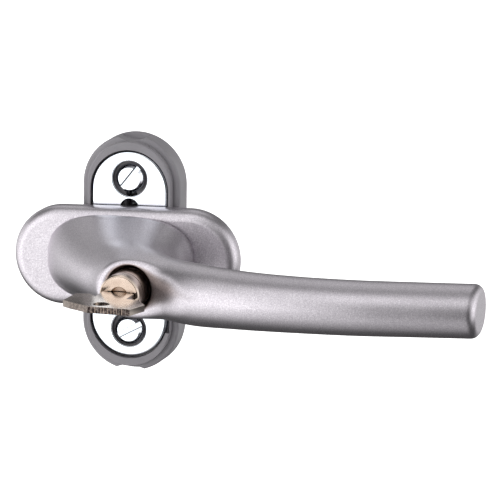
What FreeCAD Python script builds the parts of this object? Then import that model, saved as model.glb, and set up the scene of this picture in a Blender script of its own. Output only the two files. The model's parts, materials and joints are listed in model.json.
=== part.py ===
"""Lockable tilt-turn window handle, in millimetres.

The origin is where the spindle axis meets the mounting face of the base. +Z is up,
+X is the way the lever points, and the front of the handle looks along -Y. Sizes
called "depth" are measured forward from the mounting face, so y = -depth.
"""
import FreeCAD, Part
import Sketcher
import math
import os
from FreeCAD import Placement, Rotation, Vector

os.makedirs("parts", exist_ok=True)
doc = FreeCAD.newDocument("tilt_turn_handle")

# ---------------------------------------------------------------- driving dimensions
DIMENSIONS = {
    # base: a stadium-shaped plastic plate with a raised rim
    "base_width": 28.2, "base_length": 66.8, "base_draft": 0.08, "flange_depth": 6.4,
    "flange_round": 0.7, "rim_width": 24.3, "rim_length": 63.5, "rim_depth": 8.4,
    "rim_round": 0.35, "recess_width": 22.6, "recess_length": 59.0, "recess_floor": 5.9,
    "cavity_radius": 10.0, "cavity_floor": 1.7, "back_hole_radius": 5.3,
    "nose_radius": 5.0, "nose_length": 5.0,
    # pry notches in the flange: an arc that stops short of the back face
    "notch_radius": 9.2, "notch_top": 31.8, "notch_back": 2.0,
    # relief beside the plate, and the channels for the detent springs
    "relief_height": 9.0, "relief_up": -17.0, "relief_reach": 12.0,
    "channel_length": 10.0, "channel_offset": 4.8, "channel_gap": 0.2,
    # fixed ring that the lock bolt drops into
    "ring_radius": 9.2, "ring_gap": 0.15, "ring_back": 0.45, "ring_thick": 1.2,
    # steel plate and its holes
    "plate_width": 22.0, "plate_length": 58.05, "plate_lift": 0.12, "plate_thick": 2.0,
    "plate_round": 0.7, "screw_spacing": 43.0, "sink_spacing": 42.6, "screw_radius": 2.5,
    "screw_clear": 2.65, "sink_radius": 5.25, "lip_radius": 4.75, "lip_depth": 0.3,
    "eye_offset": 13.0, "eye_radius": 2.8,
    # screws
    "head_radius": 4.1, "head_top_radius": 3.1, "head_crown": 1.2, "head_sunk": 0.6,
    "shank_neck_radius": 2.0, "shank_neck_back": 6.0, "screw_back": 28.8, "screw_tip": 1.5,
    "slot_width": 1.7, "slot_depth": 1.5,
    # neck, bush and washers
    "neck_radius": 9.0, "neck_end": 4.95, "shoulder_radius": 10.4, "shoulder_depth": 8.95,
    "running_gap": 0.05, "bush_wall": 0.95, "bush_flange_radius": 10.55, "bush_flange_thick": 0.6,
    "clip_depth": 5.15, "clip_thick": 0.6, "clip_outer": 9.7, "clip_inner": 8.4,
    # detent
    "wheel_radius": 8.8, "wheel_back": 1.9, "wheel_thick": 2.8, "ball_radius": 1.5,
    "detent_spring_end": 17.3, "detent_spring_radius": 1.1, "detent_wire": 0.18,
    # spindle
    "spindle_side": 7.0, "spindle_back": 40.0, "spindle_front": 22.0,
    # lever
    "foot_depth": 14.2,
    "lock_offset": 13.45, "hub_depth": 52.3, "mouth_radius": 6.35, "mouth_depth": 5.0,
    "scoop_depth": 52.0, "scoop_slope": 0.72, "scoop_reach": 8.0,
    "arm_end": 108.4, "arm_end_round": 2.0,
    # cover
    "cover_width": 27.9, "cover_length": 64.8, "cover_back": 8.8, "cover_front": 13.9,
    "cover_shift": 0.2,
    "cover_wall": 1.3, "cover_hole": 10.7, "cover_round": 3.0, "cover_turn": 1.9,
    # lock cylinder
    "face_depth": 58.5, "cylinder_radius": 5.5, "cylinder_back": 32.0, "cylinder_bore": 4.35,
    "push_travel": 6.0, "plug_radius": 4.3, "plug_back": 36.0, "plug_head_radius": 4.95,
    "blade_width": 6.0, "blade_thick": 1.8, "blade_tip": 37.0, "wafer_thick": 0.6,
    "dimple_radius": 2.4, "dimple_depth": 0.8,
    "bolt_offset": 7.0, "bolt_radius": 1.0, "bolt_tip": 7.0,
    # key bow
    "bow_width": 21.8, "bow_back": 65.0, "bow_front": 77.0, "stem_width": 8.8,
}
sheet = doc.addObject("Spreadsheet::Sheet", "Dims")
for row, (alias, value) in enumerate(DIMENSIONS.items(), start=1):
    sheet.set("A%d" % row, alias)
    sheet.set("B%d" % row, str(value))
    sheet.setAlias("B%d" % row, alias)
doc.recompute()

PARTS = []          # every sub-part that is exported, in order


def dim(alias):
    """A driving dimension, read back from the sheet."""
    return float(sheet.get(alias))


def keep(piece, node):
    """Name a finished sub-part and list it for export."""
    piece.Label = node
    PARTS.append(piece)
    return piece


def add_shape(node, shape):
    """Put a finished shape in the document and list it for export."""
    feature = doc.addObject("Part::Feature", node)
    feature.Shape = shape
    return keep(feature, node)


# ---------------------------------------------------------------- PartDesign helpers
def new_body(name):
    return doc.addObject("PartDesign::Body", name + "_body")


def new_sketch(body, name, depth):
    """A sketch facing the front (-Y), at a depth given as an expression."""
    plane = next(item for item in body.Origin.OriginFeatures if item.Role == "XZ_Plane")
    sketch = body.newObject("Sketcher::SketchObject", name)
    sketch.AttachmentSupport = [(plane, "")]
    sketch.MapMode = "FlatFace"
    sketch.setExpression("AttachmentOffset.Base.z", depth)
    doc.recompute()
    return sketch


def size(sketch, constraint, expression):
    """Add a driving constraint and tie it to the sheet."""
    index = sketch.addConstraint(constraint)
    sketch.setExpression("Constraints[%d]" % index, expression)


def circle(sketch, radius, across="0", up="0"):
    """A circle whose radius and centre are expressions."""
    start = Vector(1.0, 1.0, 0)
    edge = sketch.addGeometry(Part.Circle(start, Vector(0, 0, 1), 1.0), False)
    size(sketch, Sketcher.Constraint("Radius", edge, 1.0), radius)
    place(sketch, edge, 3, across, up)


def place(sketch, edge, point, across, up):
    """Hold a point at two expressions, or on an axis where one of them is zero."""
    if across == "0":
        sketch.addConstraint(Sketcher.Constraint("PointOnObject", edge, point, -2))
    else:
        size(sketch, Sketcher.Constraint("DistanceX", -1, 1, edge, point, 1.0), across)
    if up == "0":
        sketch.addConstraint(Sketcher.Constraint("PointOnObject", edge, point, -1))
    else:
        size(sketch, Sketcher.Constraint("DistanceY", -1, 1, edge, point, 1.0), up)


def stadium(sketch, width, length, upright=True):
    """A slot outline about the sketch origin: two half circles and two straight sides."""
    radius, reach = 10.0, 20.0
    turn = 0.0 if upright else -math.pi / 2
    spots = [Vector(0, reach, 0), Vector(0, -reach, 0)] if upright else [
        Vector(reach, 0, 0), Vector(-reach, 0, 0)]
    normal = Vector(0, 0, 1)
    far = sketch.addGeometry(Part.ArcOfCircle(
        Part.Circle(spots[0], normal, radius), turn, turn + math.pi), False)
    near = sketch.addGeometry(Part.ArcOfCircle(
        Part.Circle(spots[1], normal, radius), turn + math.pi, turn + 2 * math.pi), False)
    ends = [(sketch.getPoint(far, 2), sketch.getPoint(near, 1)),
            (sketch.getPoint(near, 2), sketch.getPoint(far, 1))]
    lines = [sketch.addGeometry(Part.LineSegment(a, b), False) for a, b in ends]
    for first, first_end, second, second_end in (
            (far, 2, lines[0], 1), (lines[0], 2, near, 1),
            (near, 2, lines[1], 1), (lines[1], 2, far, 1)):
        sketch.addConstraint(Sketcher.Constraint("Tangent", first, first_end, second, second_end))
    axis = -2 if upright else -1
    sketch.addConstraint(Sketcher.Constraint("PointOnObject", far, 3, axis))
    sketch.addConstraint(Sketcher.Constraint("Symmetric", far, 3, near, 3, -1, 1))
    sketch.addConstraint(Sketcher.Constraint("Equal", far, near))
    size(sketch, Sketcher.Constraint("Radius", far, radius), "(%s) / 2" % width)
    span = "DistanceY" if upright else "DistanceX"
    size(sketch, Sketcher.Constraint(span, -1, 1, far, 3, reach),
         "(%s) / 2 - (%s) / 2" % (length, width))


def rectangle(sketch, width, height, across="0", up="0"):
    """A box outline centred on two expressions."""
    corners = [Vector(-1, -1, 0), Vector(1, -1, 0), Vector(1, 1, 0), Vector(-1, 1, 0)]
    edges = [sketch.addGeometry(Part.LineSegment(corners[i], corners[(i + 1) % 4]), False)
             for i in range(4)]
    for i in range(4):
        sketch.addConstraint(Sketcher.Constraint("Coincident", edges[i], 2, edges[(i + 1) % 4], 1))
        kind = "Horizontal" if i % 2 == 0 else "Vertical"
        sketch.addConstraint(Sketcher.Constraint(kind, edges[i]))
    size(sketch, Sketcher.Constraint("DistanceX", edges[0], 1, edges[0], 2, 2.0), width)
    size(sketch, Sketcher.Constraint("DistanceY", edges[1], 1, edges[1], 2, 2.0), height)
    middle = sketch.addGeometry(Part.Point(Vector(0.1, 0.1, 0)), True)
    sketch.addConstraint(Sketcher.Constraint("Symmetric", edges[0], 1, edges[1], 2, middle, 1))
    place(sketch, middle, 1, across, up)


def pad(body, sketch, length, taper=None):
    """Grow a sketch forward."""
    feature = body.newObject("PartDesign::Pad", sketch.Name + "_pad")
    feature.Profile = sketch
    feature.setExpression("Length", length)
    if taper is not None:
        feature.setExpression("TaperAngle", taper)
    doc.recompute()
    return feature


def pocket(body, sketch, length):
    """Cut a sketch backward, and make sure that it took something away."""
    before = body.Shape.Volume
    feature = body.newObject("PartDesign::Pocket", sketch.Name + "_cut")
    feature.Profile = sketch
    feature.setExpression("Length", length)
    doc.recompute()
    if body.Shape.Volume > before - 1e-3:
        raise RuntimeError(sketch.Name + " cuts nothing")
    return feature


def round_front_edges(body, feature, depth, radius, chosen=None):
    """Fillet the edges that lie in the plane at one depth."""
    fillet = body.newObject("PartDesign::Fillet", feature.Name + "_round")
    edges = []
    for index, edge in enumerate(feature.Shape.Edges, start=1):
        box = edge.BoundBox
        flat = abs(box.YMin + depth) < 0.01 and abs(box.YMax + depth) < 0.01
        if flat and (chosen is None or chosen(edge)):
            edges.append("Edge%d" % index)
    fillet.Base = (feature, edges)
    fillet.setExpression("Radius", radius)
    doc.recompute()
    return fillet


# ---------------------------------------------------------------- base
def make_base_plate():
    """Stadium plate: flange, raised rim, plate recess, detent cavity, noses, pry notches."""
    body = new_body("base_plate")
    flange = new_sketch(body, "flange", "0")
    stadium(flange, "Dims.base_width + 2 * Dims.base_draft",
            "Dims.base_length + 2 * Dims.base_draft")
    block = pad(body, flange, "Dims.flange_depth", "-atan(Dims.base_draft / Dims.flange_depth)")
    round_front_edges(body, block, dim("flange_depth"), "Dims.flange_round")
    rim = new_sketch(body, "rim", "Dims.flange_depth")
    stadium(rim, "Dims.rim_width", "Dims.rim_length")
    raised = pad(body, rim, "Dims.rim_depth - Dims.flange_depth")
    round_front_edges(body, raised, dim("rim_depth"), "Dims.rim_round")
    recess = new_sketch(body, "recess", "Dims.rim_depth")
    stadium(recess, "Dims.recess_width", "Dims.recess_length")
    pocket(body, recess, "Dims.rim_depth - Dims.recess_floor")
    relief = new_sketch(body, "relief", "Dims.rim_depth")
    rectangle(relief, "2", "Dims.relief_height", "Dims.relief_reach - 1", "Dims.relief_up")
    pocket(body, relief, "Dims.rim_depth - Dims.recess_floor")
    cavity = new_sketch(body, "cavity", "Dims.recess_floor")
    circle(cavity, "Dims.cavity_radius")
    pocket(body, cavity, "Dims.recess_floor - Dims.cavity_floor")
    for side, sign in (("upper", ""), ("lower", "-")):
        channel = new_sketch(body, "spring_channel_" + side, "Dims.recess_floor")
        rectangle(channel, "2 * Dims.ball_radius + Dims.channel_gap", "Dims.channel_length",
                  "0", sign + "(Dims.detent_spring_end - Dims.channel_offset)")
        pocket(body, channel, "Dims.recess_floor - Dims.cavity_floor")
        nose = new_sketch(body, "nose_" + side, "-Dims.nose_length")
        circle(nose, "Dims.nose_radius", "0", sign + "Dims.screw_spacing / 2")
        pad(body, nose, "Dims.nose_length + Dims.cavity_floor")
        hole = new_sketch(body, "screw_hole_" + side, "Dims.recess_floor")
        circle(hole, "Dims.screw_clear", "0", sign + "Dims.screw_spacing / 2")
        pocket(body, hole, "Dims.recess_floor + Dims.nose_length + 1")
        notch = new_sketch(body, "pry_notch_" + side, "Dims.flange_depth")
        circle(notch, "Dims.notch_radius", "0", sign + "(Dims.notch_top + Dims.notch_radius)")
        pocket(body, notch, "Dims.flange_depth - Dims.notch_back")
    through = new_sketch(body, "spindle_hole", "Dims.cavity_floor")
    circle(through, "Dims.back_hole_radius")
    pocket(body, through, "Dims.cavity_floor + 1")
    back_recess = new_sketch(body, "back_recess", "Dims.cavity_floor")
    circle(back_recess, "Dims.ring_radius + Dims.ring_gap")
    pocket(body, back_recess, "Dims.cavity_floor - Dims.ring_back + 0.05")
    return keep(body, "base_plate")


def make_lock_ring():
    """Fixed steel ring behind the detent wheel; the bolt drops into one of its four holes."""
    body = new_body("lock_ring")
    disc = new_sketch(body, "ring_disc", "Dims.ring_back")
    circle(disc, "Dims.ring_radius")
    circle(disc, "Dims.back_hole_radius")
    pad(body, disc, "Dims.ring_thick")
    for turn in range(4):
        hole = new_sketch(body, "ring_hole_%d" % turn, "Dims.ring_back + Dims.ring_thick + 1")
        spot = round(math.cos(turn * math.pi / 2)), round(math.sin(turn * math.pi / 2))
        across, up = ["0" if s == 0 else "%d * Dims.bolt_offset" % s for s in spot]
        circle(hole, "Dims.bolt_radius + 0.2", across, up)
        pocket(body, hole, "Dims.ring_thick + 2")
    return keep(body, "lock_ring")


def make_steel_plate():
    """Inset plate with a neck hole, two countersunk screw holes and two round eyes."""
    body = new_body("steel_plate")
    blank = new_sketch(body, "plate_blank", "Dims.recess_floor")
    stadium(blank, "Dims.plate_width", "Dims.plate_length")
    sheet_metal = pad(body, blank, "Dims.plate_thick")
    round_front_edges(body, sheet_metal, dim("recess_floor") + dim("plate_thick"),
                      "Dims.plate_round")
    top = "Dims.recess_floor + Dims.plate_thick"
    neck = new_sketch(body, "plate_neck_hole", top)
    circle(neck, "Dims.neck_radius + 4 * Dims.running_gap + Dims.bush_wall")
    pocket(body, neck, "Dims.plate_thick + 1")
    for side, sign in (("upper", ""), ("lower", "-")):
        eye = new_sketch(body, "plate_eye_" + side, top)
        circle(eye, "Dims.eye_radius", "0", sign + "Dims.eye_offset")
        pocket(body, eye, "Dims.plate_thick + 1")
        hole = new_sketch(body, "plate_screw_" + side, top)
        circle(hole, "Dims.lip_radius", "0", sign + "Dims.sink_spacing / 2")
        sink = pocket(body, hole, "Dims.plate_thick + 0.5")
        sink.setExpression(
            "TaperAngle", "atan((Dims.lip_radius - Dims.screw_clear) / Dims.plate_thick)")
        doc.recompute()
        lip = new_sketch(body, "plate_lip_" + side, top)
        circle(lip, "Dims.sink_radius", "0", sign + "Dims.sink_spacing / 2")
        chamfer = pocket(body, lip, "Dims.lip_depth")
        chamfer.setExpression(
            "TaperAngle", "atan((Dims.sink_radius - Dims.lip_radius) / Dims.lip_depth)")
        doc.recompute()
    # the loose plate has slid to the top of its recess
    body.Placement = Placement(Vector(0, 0, dim("plate_lift")), Rotation())
    doc.recompute()
    return keep(body, "steel_plate")


def make_screws():
    """Two M5 countersunk slotted screws as one group, slots left at different angles."""
    shapes = []
    front = Vector(0, -1, 0)
    rim = dim("recess_floor") + dim("plate_thick") - dim("head_sunk")
    slope = (dim("lip_radius") - dim("screw_clear")) / dim("plate_thick")
    cone_height = (dim("head_radius") - dim("shank_neck_radius")) / slope
    neck_length = rim + dim("shank_neck_back")
    thread_length = dim("screw_back") - dim("screw_tip") - dim("shank_neck_back")
    for sign, slot_angle in ((1, 52.0), (-1, 29.0)):
        height = sign * dim("screw_spacing") / 2
        crown = Part.makeCone(dim("head_radius"), dim("head_top_radius"), dim("head_crown"),
                              Vector(0, -rim, 0), front)
        cone = Part.makeCone(dim("shank_neck_radius"), dim("head_radius"), cone_height,
                             Vector(0, -rim + cone_height, 0), front)
        neck = Part.makeCylinder(dim("shank_neck_radius"), neck_length,
                                 Vector(0, dim("shank_neck_back"), 0), front)
        thread = Part.makeCylinder(dim("screw_radius"), thread_length,
                                   Vector(0, dim("shank_neck_back"), 0), Vector(0, 1, 0))
        tip = Part.makeCone(dim("screw_radius"), dim("screw_radius") - 1.0, dim("screw_tip"),
                            Vector(0, dim("screw_back") - dim("screw_tip"), 0), Vector(0, 1, 0))
        floor = rim + dim("head_crown") - dim("slot_depth")
        slot = Part.makeBox(12, 4, dim("slot_width"), Vector(-6, -floor - 4, -dim("slot_width") / 2))
        slot.rotate(Vector(0, 0, 0), Vector(0, 1, 0), -slot_angle)
        screw = crown.fuse([cone, neck, thread, tip]).removeSplitter().cut(slot)
        screw.translate(Vector(0, 0, height))
        shapes.append(screw)
    return add_shape("mounting_screws", Part.makeCompound(shapes))


def make_bush():
    """Flanged plastic bush that the neck turns in."""
    body = new_body("bearing_bush")
    bore = "Dims.neck_radius + Dims.running_gap"
    sleeve = new_sketch(body, "bush_sleeve", "Dims.recess_floor")
    circle(sleeve, bore + " + Dims.bush_wall")
    circle(sleeve, bore)
    pad(body, sleeve, "Dims.plate_thick")
    flange = new_sketch(body, "bush_flange", "Dims.recess_floor + Dims.plate_thick")
    circle(flange, "Dims.bush_flange_radius")
    circle(flange, bore)
    pad(body, flange, "Dims.bush_flange_thick")
    return keep(body, "bearing_bush")


def spring(radius, wire, length, turns):
    """A plain coil spring along +Z from the origin, ends left open."""
    helix = Part.makeHelix(length / turns, length, radius)
    start = helix.Edges[0].valueAt(helix.Edges[0].FirstParameter)
    tangent = helix.Edges[0].tangentAt(helix.Edges[0].FirstParameter)
    ring = Part.Wire(Part.Edge(Part.Circle(start, tangent, wire)))
    pipe = Part.Wire(helix.Edges).makePipeShell([ring], True, True)
    return pipe if pipe.ShapeType == "Solid" else Part.Solid(pipe)


def make_detent():
    """Two steel balls and two coil springs in the channels above and below the wheel."""
    depth = dim("wheel_back") + dim("wheel_thick") / 2
    reach = dim("wheel_radius") + dim("ball_radius") + 0.06
    balls, coils = [], []
    seat = reach + dim("ball_radius") + 0.05
    for sign in (1, -1):
        balls.append(Part.makeSphere(dim("ball_radius"), Vector(0, -depth, sign * reach)))
        coil = spring(dim("detent_spring_radius"), dim("detent_wire"),
                      dim("detent_spring_end") - seat - 0.4, 5)
        coil.Placement = Placement(Vector(0, -depth, sign * (seat + 0.2)),
                                   Rotation(Vector(1, 0, 0), 0 if sign > 0 else 180))
        coils.append(coil)
    add_shape("detent_balls", Part.makeCompound(balls))
    add_shape("detent_springs", Part.makeCompound(coils))


# ---------------------------------------------------------------- turning parts in the base
def make_detent_wheel():
    """Zinc wheel on the spindle: four rim notches, a square hole and a bolt hole."""
    body = new_body("detent_wheel")
    disc = new_sketch(body, "wheel_disc", "Dims.wheel_back")
    circle(disc, "Dims.wheel_radius")
    rectangle(disc, "Dims.spindle_side + 0.1", "Dims.spindle_side + 0.1")
    pad(body, disc, "Dims.wheel_thick")
    top = "Dims.wheel_back + Dims.wheel_thick"
    bolt_hole = new_sketch(body, "wheel_bolt_hole", top)
    circle(bolt_hole, "Dims.bolt_radius + 0.15", "Dims.bolt_offset")
    pocket(body, bolt_hole, "Dims.wheel_thick + 1")
    notch = new_sketch(body, "wheel_notch", top)
    circle(notch, "Dims.ball_radius + 0.15", "0", "Dims.wheel_radius + 0.9")
    cut = pocket(body, notch, "Dims.wheel_thick + 1")
    pattern = body.newObject("PartDesign::PolarPattern", "wheel_notches")
    pattern.Originals = [cut]
    pattern.Axis = (notch, ["N_Axis"])
    pattern.Angle = 360
    pattern.Occurrences = 4
    body.Tip = pattern
    doc.recompute()
    return keep(body, "detent_wheel")


def make_spindle():
    """7 mm square bar with chamfered ends."""
    body = new_body("spindle")
    section = new_sketch(body, "spindle_section", "-Dims.spindle_back")
    rectangle(section, "Dims.spindle_side", "Dims.spindle_side")
    bar = pad(body, section, "Dims.spindle_back + Dims.spindle_front")
    chamfer = body.newObject("PartDesign::Chamfer", "spindle_chamfer")
    ends = ["Edge%d" % (i + 1) for i, edge in enumerate(bar.Shape.Edges)
            if edge.BoundBox.YLength < 0.01]
    chamfer.Base = (bar, ends)
    chamfer.Size = 0.6
    doc.recompute()
    return keep(body, "spindle")


def make_rings():
    """Retaining ring with a gap, and the thin washer in front of the bush."""
    body = new_body("retaining_ring")
    ring = new_sketch(body, "clip_ring", "Dims.clip_depth")
    circle(ring, "Dims.clip_outer")
    circle(ring, "Dims.clip_inner")
    pad(body, ring, "Dims.clip_thick")
    gap = new_sketch(body, "clip_gap", "Dims.clip_depth + Dims.clip_thick")
    rectangle(gap, "4", "4", "-Dims.clip_outer")
    pocket(body, gap, "Dims.clip_thick + 1")
    keep(body, "retaining_ring")
    body = new_body("thrust_washer")
    disc = new_sketch(body, "washer_disc", "Dims.shoulder_depth - 0.38")
    circle(disc, "Dims.shoulder_radius - 0.1")
    circle(disc, "Dims.neck_radius + 0.05")
    pad(body, disc, "0.38")
    keep(body, "thrust_washer")


# ---------------------------------------------------------------- lever
# Hub cross-sections: depth, left end, right end, half height, and how square the oval is
# (2 is an ellipse).
HUB_SECTIONS = [(14.2, -20.6, 20.8, 12.2, 2.7), (16.0, -20.9, 21.1, 12.4, 2.7),
                (19.0, -20.0, 20.8, 11.7, 2.6), (25.5, -16.2, 20.6, 10.4, 2.4),
                (33.0, -10.4, 21.8, 9.5, 2.2), (41.0, -3.4, 23.2, 8.9, 2.1),
                (47.5, 2.6, 22.9, 8.3, 2.0), (51.2, 5.2, 21.6, 7.8, 2.0),
                (52.3, 5.9, 21.0, 7.5, 2.0)]
SECTION_POINTS = 48
# Arm centre line: distance along X, depth, half height and half depth.
ARM_SECTIONS = [(10.0, 39.0, 7.2, 7.8), (20.0, 44.6, 8.1, 8.1), (31.0, 49.5, 8.3, 8.2),
                (44.0, 52.4, 7.75, 8.0), (60.0, 53.3, 7.4, 7.9), (76.0, 52.5, 7.25, 7.9),
                (92.0, 50.3, 7.15, 7.9), (108.4, 47.4, 7.1, 7.9)]


def oval_wire(centre, across, up, half_across, half_up, power=2.0):
    """A closed smooth oval: an ellipse, or squarer where the power is above 2."""
    points = []
    for index in range(SECTION_POINTS):
        angle = 2 * math.pi * index / SECTION_POINTS
        c, s = math.cos(angle), math.sin(angle)
        x = math.copysign(abs(c) ** (2 / power), c)
        z = math.copysign(abs(s) ** (2 / power), s)
        points.append(centre + across * (half_across * x) + up * (half_up * z))
    curve = Part.BSplineCurve()
    curve.interpolate(points, PeriodicFlag=True)
    return Part.Wire(curve.toShape())


def hub_loft():
    """The flared hub: an oval foot that leans into the lock boss."""
    wires = [oval_wire(Vector((left + right) / 2, -depth, 0), Vector(1, 0, 0), Vector(0, 0, 1),
                       (right - left) / 2, half_height, power)
             for depth, left, right, half_height, power in HUB_SECTIONS]
    return Part.makeLoft(wires, True, False)


def arm_loft():
    """The grip: ovals square to a centre line that bows forward and back again."""
    spots = [Vector(x, -depth, 0) for x, depth, _, _ in ARM_SECTIONS]
    wires = []
    for index, (_, _, half_height, half_depth) in enumerate(ARM_SECTIONS):
        before, after = spots[max(index - 1, 0)], spots[min(index + 1, len(spots) - 1)]
        along = (after - before).normalize()
        if index == len(spots) - 1:
            along = Vector(1, 0, 0)
        forward = Vector(0, 0, 1).cross(along).normalize()
        wires.append(oval_wire(spots[index], Vector(0, 0, 1), forward, half_height, half_depth))
    arm = Part.makeLoft(wires, True, False)
    end = [edge for edge in arm.Edges if edge.BoundBox.XMin > dim("arm_end") - 0.01]
    return arm.makeFillet(dim("arm_end_round"), end)


def make_lever():
    """One casting: neck, hub and grip, cored for the spindle, the bolt and the lock."""
    front = Vector(0, -1, 0)
    neck = Part.makeCylinder(dim("neck_radius"), dim("foot_depth") - dim("neck_end") + 1,
                             Vector(0, -dim("neck_end"), 0), front)
    shoulder = Part.makeCylinder(
        dim("shoulder_radius"), dim("foot_depth") - dim("shoulder_depth") + 1,
        Vector(0, -dim("shoulder_depth"), 0), front)
    solid = hub_loft().fuse([arm_loft(), neck, shoulder])
    side = dim("spindle_side") + 0.1
    socket = Part.makeBox(side, dim("spindle_front") + 1, side,
                          Vector(-side / 2, -dim("spindle_front") - 0.2, -side / 2))
    groove = Part.makeCylinder(20, dim("clip_thick") + 0.06,
                               Vector(0, -dim("clip_depth") + 0.03, 0), front).cut(
        Part.makeCylinder(dim("clip_inner") - 0.02, 3, Vector(0, -dim("clip_depth") + 1, 0), front))
    travel = dim("push_travel")
    lock = dim("lock_offset")
    bore = Part.makeCylinder(dim("cylinder_radius") + 0.06, 60,
                             Vector(lock, -(dim("cylinder_back") - travel - 0.2), 0), front)
    mouth = Part.makeCylinder(dim("mouth_radius"), 20,
                              Vector(lock, -(dim("hub_depth") - dim("mouth_depth")), 0), front)
    scoop = Part.makeCone(dim("mouth_radius"),
                          dim("mouth_radius") + dim("scoop_reach") / dim("scoop_slope"),
                          dim("scoop_reach"), Vector(lock, -dim("scoop_depth"), 0), front)
    channel = Part.makeCylinder(dim("bolt_radius") + 0.08, 24,
                                Vector(dim("bolt_offset"), 0, 0), front)
    carrier_back = dim("cylinder_back") - 2.5 - travel - 0.3
    carrier_room = Part.makeBox(12.6, dim("cylinder_back") + 0.3 - carrier_back, 6.6,
                                Vector(4.0, -dim("cylinder_back") - 0.3, -3.3))
    core = Part.makeBox(6.0, carrier_back - dim("foot_depth") + 2, 6.6,
                        Vector(10.6, -carrier_back - 0.5, -3.3))
    spring_room = Part.makeCylinder(2.0, 4.0,
                                    Vector(dim("bolt_offset"), -carrier_back + 3.2, 0), front)
    grub = Part.makeCylinder(2.0, 12, Vector(-3, -11.4, 0), Vector(-1, 0, 0))
    stop = Part.makeCylinder(1.5, 12, Vector(lock, -40, -4), Vector(0, 0, -1))
    solid = solid.cut([socket, groove, bore, mouth, scoop, channel, carrier_room, core, spring_room,
                       grub, stop])
    return add_shape("lever_handle", max(solid.Solids, key=lambda piece: piece.Volume))


def make_lever_screws():
    """Grub screw that holds the spindle, and the one that limits the lock's travel."""
    for node, at, way, radius, length, hexagon in (
            ("spindle_grub_screw", Vector(-3.56, -11.4, 0), Vector(-1, 0, 0), 1.95, 6.4, 1.0),
            ("lock_stop_screw", Vector(dim("lock_offset"), -40, -4.95), Vector(0, 0, -1),
             1.45, 3.6, 0.75)):
        screw = Part.makeCylinder(radius, length, at, way)
        socket_floor = at + way * (length - 1.6)
        turn = Rotation(Vector(0, 0, 1), way)
        corners = [socket_floor + turn.multVec(Vector(
            hexagon * math.cos(i * math.pi / 3), hexagon * math.sin(i * math.pi / 3), 0))
            for i in range(7)]
        socket = Part.Face(Part.makePolygon(corners)).extrude(way * 3)
        add_shape(node, screw.cut(socket))


# ---------------------------------------------------------------- cover
def make_cover():
    """Thin stadium cap, open at the back, with a round hole for the neck."""
    body = new_body("cover_cap")
    outline = new_sketch(body, "cover_outline", "Dims.cover_back")
    stadium(outline, "Dims.cover_width", "Dims.cover_length", upright=False)
    block = pad(body, outline, "Dims.cover_front - Dims.cover_back")
    round_front_edges(body, block, dim("cover_front"), "Dims.cover_round")
    hollow = new_sketch(body, "cover_hollow", "Dims.cover_front - Dims.cover_wall")
    stadium(hollow, "Dims.cover_width - 2 * Dims.cover_wall",
            "Dims.cover_length - 2 * Dims.cover_wall", upright=False)
    before = body.Shape.Volume
    room = body.newObject("PartDesign::Pocket", "cover_room")
    room.Profile = hollow
    room.setExpression("Length", "Dims.cover_front")
    doc.recompute()
    if body.Shape.Volume > before - 1:
        raise RuntimeError("cover_room cuts nothing")
    hole = new_sketch(body, "cover_neck_hole", "Dims.cover_front")
    circle(hole, "Dims.cover_hole")
    pocket(body, hole, "Dims.cover_wall + 1")
    # the loose cover rests a little off square
    body.Placement = Placement(Vector(dim("cover_shift"), 0, 0),
                               Rotation(Vector(0, -1, 0), dim("cover_turn")))
    doc.recompute()
    return keep(body, "cover_cap")


# ---------------------------------------------------------------- lock
def lock_axis_cylinder(radius, back, front):
    """A cylinder on the lock's axis between two depths."""
    return Part.makeCylinder(radius, front - back,
                             Vector(dim("lock_offset"), -back, 0), Vector(0, -1, 0))


def lock_axis_box(width, height, back, front):
    """A box about the lock's axis between two depths."""
    return Part.makeBox(width, front - back, height,
                        Vector(dim("lock_offset") - width / 2, -front, -height / 2))


def make_cylinder():
    """Push-in housing with a stop groove, and the ring pressed on its front."""
    back, face = dim("cylinder_back"), dim("face_depth")
    seam = face - 1.6
    housing = lock_axis_cylinder(dim("cylinder_radius"), back, seam)
    housing = housing.cut(lock_axis_cylinder(dim("cylinder_bore"), back + 1.3, face))
    housing = housing.cut(Part.makeBox(3.2, 9.2, 2, Vector(dim("lock_offset") - 1.6, -47.6, -6.9)))
    line = lock_axis_cylinder(dim("cylinder_radius") + 1, seam - 2.3, seam - 2.0)
    line = line.cut(lock_axis_cylinder(dim("cylinder_radius") - 0.25, back, face))
    add_shape("cylinder_housing", housing.cut(line))
    ring = lock_axis_cylinder(dim("cylinder_radius"), seam, face - 0.15)
    rim = [edge for edge in ring.Edges if abs(edge.BoundBox.YMin + face - 0.15) < 0.01
           and edge.BoundBox.XLength > 1 and edge.BoundBox.YLength < 0.01]
    ring = ring.makeChamfer(0.35, rim)
    add_shape("cylinder_front_ring", ring.cut(lock_axis_cylinder(5.0, back, face)))


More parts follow.
